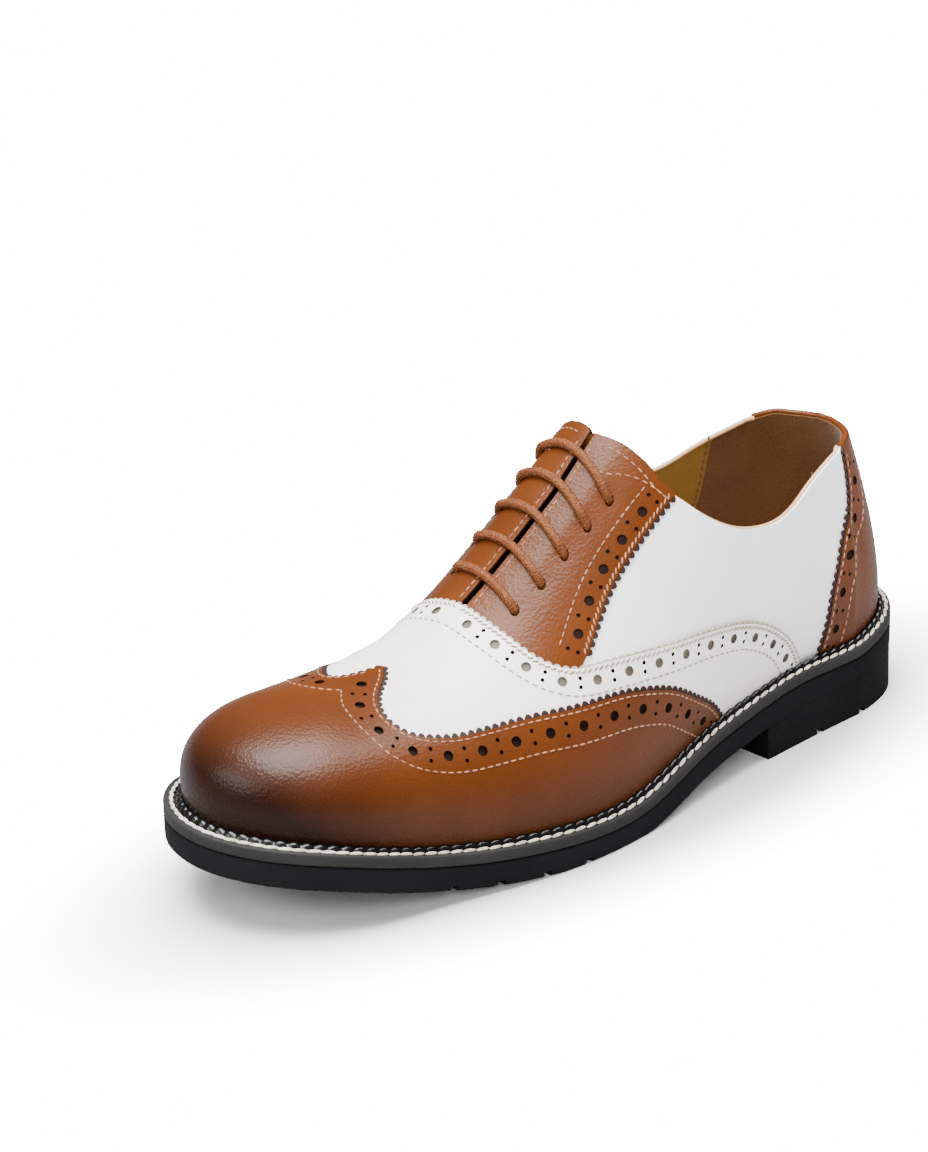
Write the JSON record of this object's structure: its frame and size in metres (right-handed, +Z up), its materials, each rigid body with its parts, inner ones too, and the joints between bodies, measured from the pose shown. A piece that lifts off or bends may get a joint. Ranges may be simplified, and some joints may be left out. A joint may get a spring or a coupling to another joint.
{
  "type": "spectator shoe",
  "caption": "Left brogue oxford shoe with brown wing toe, facings and heel counter over white leather, dark welt and rubber sole with heel.",
  "frame": {"origin": "centre of the bounding box's base, under the middle of the sole, on the floor plane", "axes": "+Z up, toe towards -Y, outer side of the foot towards +X"},
  "size_m": [0.1078, 0.305, 0.1256],
  "materials": {
    "white_leather": "smooth, lightly grained",
    "brown_leather": "polished, burnished darker at the toe",
    "rubber_sole": "satin",
    "welt_rubber": "satin",
    "lining_leather": "matt",
    "lace_cord": "waxed round cord"
  },
  "bodies": {
    "root": {"outsole": "rubber_sole", "welt": "welt_rubber", "insole": "lining_leather", "upper": "white_leather", "vamp": "white_leather", "wing_cap": "brown_leather", "facing_lateral": "brown_leather", "facing_medial": "brown_leather", "heel_counter": "brown_leather", "tongue": "brown_leather", "lace_bar_1": "lace_cord", "lace_bar_2": "lace_cord", "lace_bar_3": "lace_cord", "lace_bar_4": "lace_cord", "lace_bar_5": "lace_cord"}
  },
  "joints": []
}
